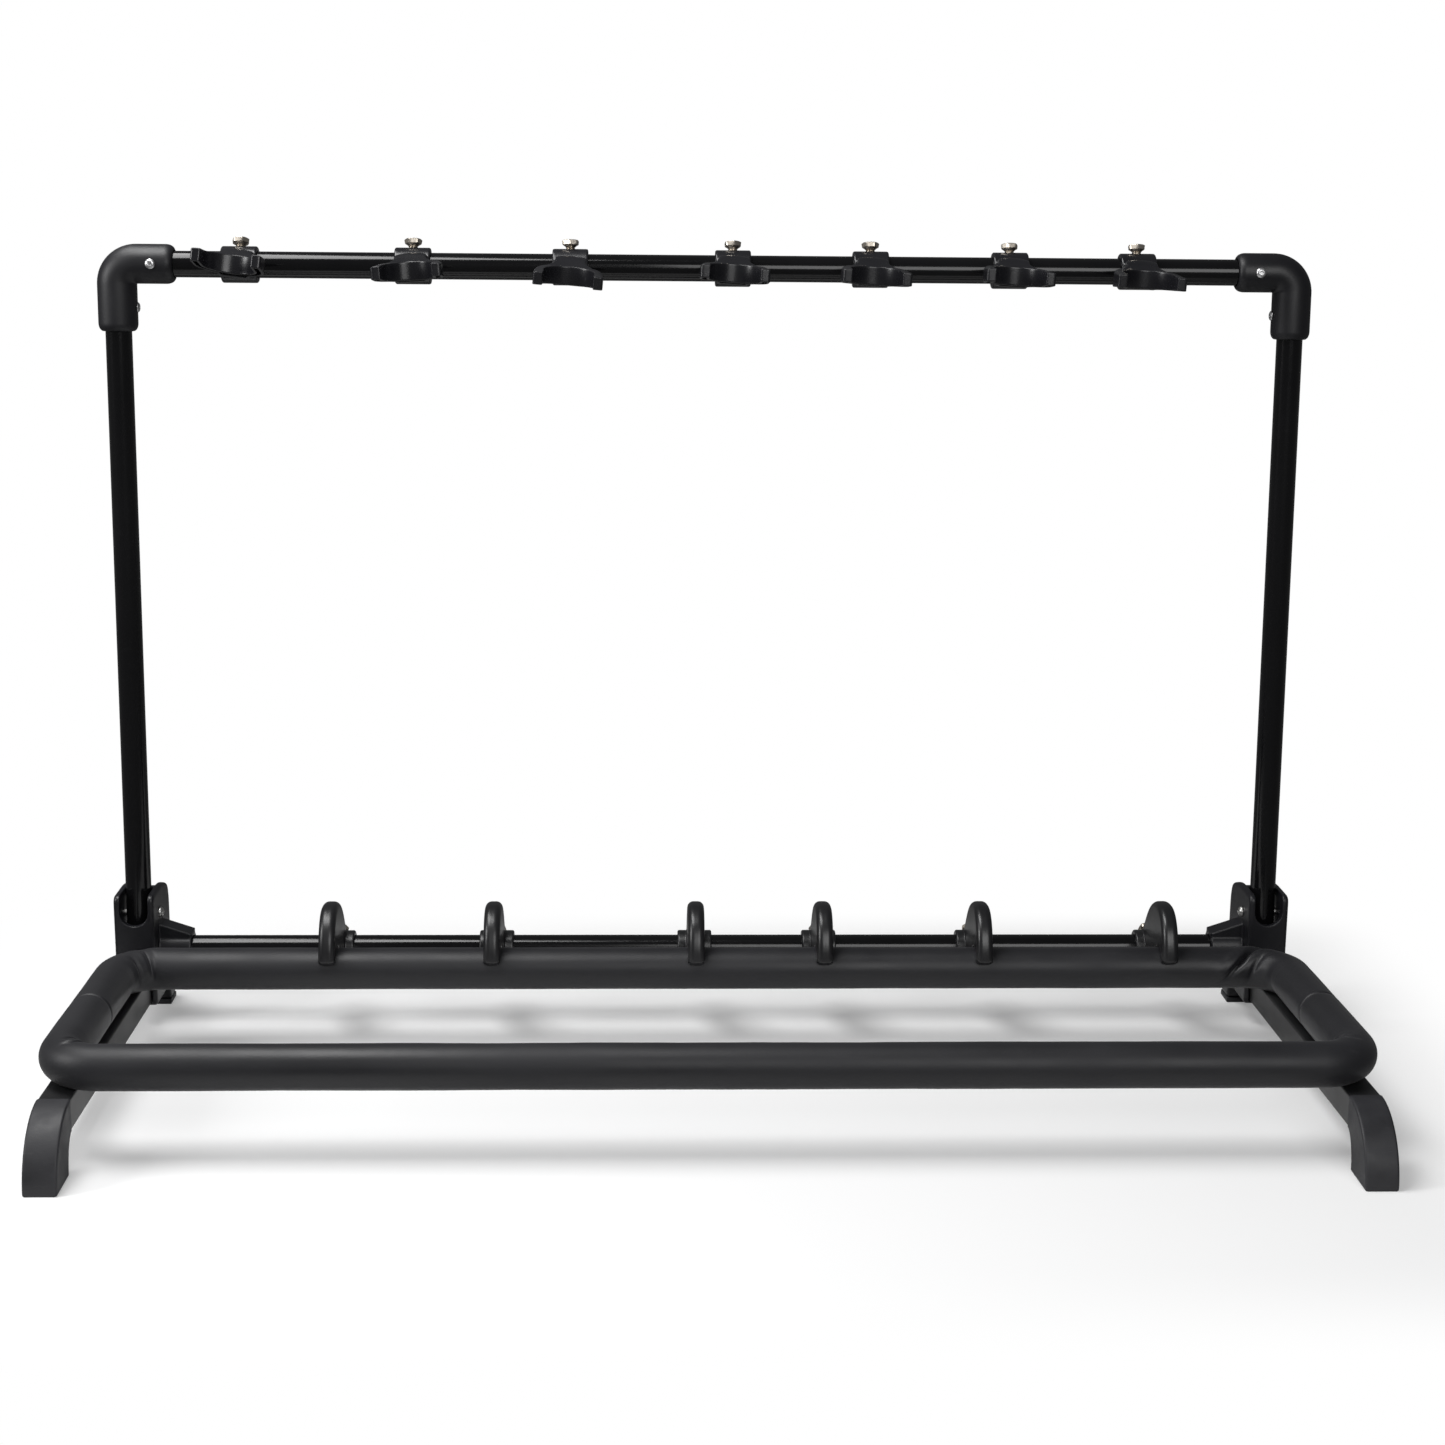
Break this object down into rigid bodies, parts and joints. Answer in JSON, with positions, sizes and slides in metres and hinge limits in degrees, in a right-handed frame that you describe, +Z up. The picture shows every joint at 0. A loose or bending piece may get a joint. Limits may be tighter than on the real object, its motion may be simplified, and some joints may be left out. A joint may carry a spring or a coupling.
{
  "type": "guitar rack",
  "caption": "Free-standing folding rack that holds guitars upright in a row, with sliding neck yokes, sliding dividers and a foam-covered loop.",
  "frame": {"origin": "on the floor at the middle of the footprint", "axes": "+Z up, +X along the top bar to the viewer's right, front of the rack towards -Y"},
  "size_m": [1.039, 0.455, 0.6834],
  "materials": {
    "tube_gloss": "gloss black paint",
    "leg_paint": "satin black powder coat",
    "bracket_plastic": "finely textured black moulding",
    "elbow_plastic": "finely textured black moulding",
    "yoke_plastic": "satin black moulding",
    "divider_plastic": "satin black moulding",
    "foot_rubber": "matte black, lightly textured",
    "foam_sleeve": "matte black closed-cell foam, smooth skin",
    "nickel_steel": "nickel plated",
    "bright_steel": "zinc plated",
    "rivet_aluminium": "bright"
  },
  "bodies": {
    "base": {"side_leg_left": "leg_paint", "front_foot_left": "foot_rubber", "hinge_bracket_left": "bracket_plastic", "rear_foot_pad_left": "foot_rubber", "hinge_pin_bolt_left": "bright_steel", "hinge_pin_nut_left": "bright_steel", "loop_screw_left": "nickel_steel", "side_leg_right": "leg_paint", "front_foot_right": "foot_rubber", "hinge_bracket_right": "bracket_plastic", "rear_foot_pad_right": "foot_rubber", "hinge_pin_bolt_right": "bright_steel", "hinge_pin_nut_right": "bright_steel", "loop_screw_right": "nickel_steel", "lower_bar": "tube_gloss", "loop_tube": "tube_gloss", "foam_sleeve_front": "foam_sleeve", "foam_sleeve_rear": "foam_sleeve"},
    "folding_frame": {"upright_left": "tube_gloss", "corner_elbow_left": "elbow_plastic", "elbow_rivet_top_left": "rivet_aluminium", "elbow_rivet_side_left": "rivet_aluminium", "upright_right": "tube_gloss", "corner_elbow_right": "elbow_plastic", "elbow_rivet_top_right": "rivet_aluminium", "elbow_rivet_side_right": "rivet_aluminium", "top_bar": "tube_gloss"},
    "yoke_1": {"yoke_collar_1": "yoke_plastic", "yoke_bolt_1": "nickel_steel"},
    "fork_1": {"yoke_fork_1": "yoke_plastic"},
    "yoke_2": {"yoke_collar_2": "yoke_plastic", "yoke_bolt_2": "nickel_steel"},
    "fork_2": {"yoke_fork_2": "yoke_plastic"},
    "yoke_3": {"yoke_collar_3": "yoke_plastic", "yoke_bolt_3": "nickel_steel"},
    "fork_3": {"yoke_fork_3": "yoke_plastic"},
    "yoke_4": {"yoke_collar_4": "yoke_plastic", "yoke_bolt_4": "nickel_steel"},
    "fork_4": {"yoke_fork_4": "yoke_plastic"},
    "yoke_5": {"yoke_collar_5": "yoke_plastic", "yoke_bolt_5": "nickel_steel"},
    "fork_5": {"yoke_fork_5": "yoke_plastic"},
    "yoke_6": {"yoke_collar_6": "yoke_plastic", "yoke_bolt_6": "nickel_steel"},
    "fork_6": {"yoke_fork_6": "yoke_plastic"},
    "yoke_7": {"yoke_collar_7": "yoke_plastic", "yoke_bolt_7": "nickel_steel"},
    "fork_7": {"yoke_fork_7": "yoke_plastic"},
    "divider_1": {"divider_1": "divider_plastic", "divider_bolt_1": "nickel_steel"},
    "divider_2": {"divider_2": "divider_plastic", "divider_bolt_2": "nickel_steel"},
    "divider_3": {"divider_3": "divider_plastic", "divider_bolt_3": "nickel_steel"},
    "divider_4": {"divider_4": "divider_plastic", "divider_bolt_4": "nickel_steel"},
    "divider_5": {"divider_5": "divider_plastic", "divider_bolt_5": "nickel_steel"},
    "divider_6": {"divider_6": "divider_plastic", "divider_bolt_6": "nickel_steel"}
  },
  "joints": [
    {"name": "frame_fold", "type": "hinge", "parent": "base", "child": "folding_frame", "pos_m": [0, 0.1641, 0.099], "axis": [1, 0, 0], "range_deg": [0, 76]},
    {"name": "yoke_1_slide", "type": "slide", "parent": "folding_frame", "child": "yoke_1", "axis": [1, 0, 0], "range_m": [-0.038, 0.039]},
    {"name": "yoke_1_swivel", "type": "hinge", "parent": "yoke_1", "child": "fork_1", "pos_m": [-0.3943, 0.18593, 0.6595], "axis": [0, 0.9863, -0.165], "range_deg": [-36.5, 23.5]},
    {"name": "yoke_2_slide", "type": "slide", "parent": "folding_frame", "child": "yoke_2", "axis": [1, 0, 0], "range_m": [-0.039, 0.033]},
    {"name": "yoke_2_swivel", "type": "hinge", "parent": "yoke_2", "child": "fork_2", "pos_m": [-0.2494, 0.18593, 0.6595], "axis": [0, 0.9994, -0.0349], "range_deg": [-26, 34]},
    {"name": "yoke_3_slide", "type": "slide", "parent": "folding_frame", "child": "yoke_3", "axis": [1, 0, 0], "range_m": [-0.033, 0.035]},
    {"name": "yoke_3_swivel", "type": "hinge", "parent": "yoke_3", "child": "fork_3", "pos_m": [-0.1171, 0.18593, 0.6595], "axis": [0, 0.9983, 0.0576], "range_deg": [-34.9, 25.1]},
    {"name": "yoke_4_slide", "type": "slide", "parent": "folding_frame", "child": "yoke_4", "axis": [1, 0, 0], "range_m": [-0.035, 0.025]},
    {"name": "yoke_4_swivel", "type": "hinge", "parent": "yoke_4", "child": "fork_4", "pos_m": [0.02, 0.18593, 0.6595], "axis": [0, 0.9991, -0.0419], "range_deg": [-34, 26]},
    {"name": "yoke_5_slide", "type": "slide", "parent": "folding_frame", "child": "yoke_5", "axis": [1, 0, 0], "range_m": [-0.025, 0.026]},
    {"name": "yoke_5_swivel", "type": "hinge", "parent": "yoke_5", "child": "fork_5", "pos_m": [0.1366, 0.18593, 0.6595], "axis": [0, 1, -0.007], "range_deg": [-33.3, 26.7]},
    {"name": "yoke_6_slide", "type": "slide", "parent": "folding_frame", "child": "yoke_6", "axis": [1, 0, 0], "range_m": [-0.026, 0.021]},
    {"name": "yoke_6_swivel", "type": "hinge", "parent": "yoke_6", "child": "fork_6", "pos_m": [0.255, 0.18593, 0.6595], "axis": [0, 0.9997, -0.0244], "range_deg": [-33.8, 26.2]},
    {"name": "yoke_7_slide", "type": "slide", "parent": "folding_frame", "child": "yoke_7", "axis": [1, 0, 0], "range_m": [-0.021, 0.069]},
    {"name": "yoke_7_swivel", "type": "hinge", "parent": "yoke_7", "child": "fork_7", "pos_m": [0.3635, 0.18593, 0.6595], "axis": [0, 0.9996, 0.0279], "range_deg": [-33.4, 26.6]},
    {"name": "divider_1_slide", "type": "slide", "parent": "base", "child": "divider_1", "axis": [1, 0, 0], "range_m": [-0.111, 0.054]},
    {"name": "divider_2_slide", "type": "slide", "parent": "base", "child": "divider_2", "axis": [1, 0, 0], "range_m": [-0.054, 0.072]},
    {"name": "divider_3_slide", "type": "slide", "parent": "base", "child": "divider_3", "axis": [1, 0, 0], "range_m": [-0.072, 0.039]},
    {"name": "divider_4_slide", "type": "slide", "parent": "base", "child": "divider_4", "axis": [1, 0, 0], "range_m": [-0.039, 0.053]},
    {"name": "divider_5_slide", "type": "slide", "parent": "base", "child": "divider_5", "axis": [1, 0, 0], "range_m": [-0.053, 0.064]},
    {"name": "divider_6_slide", "type": "slide", "parent": "base", "child": "divider_6", "axis": [1, 0, 0], "range_m": [-0.064, 0.036]}
  ]
}
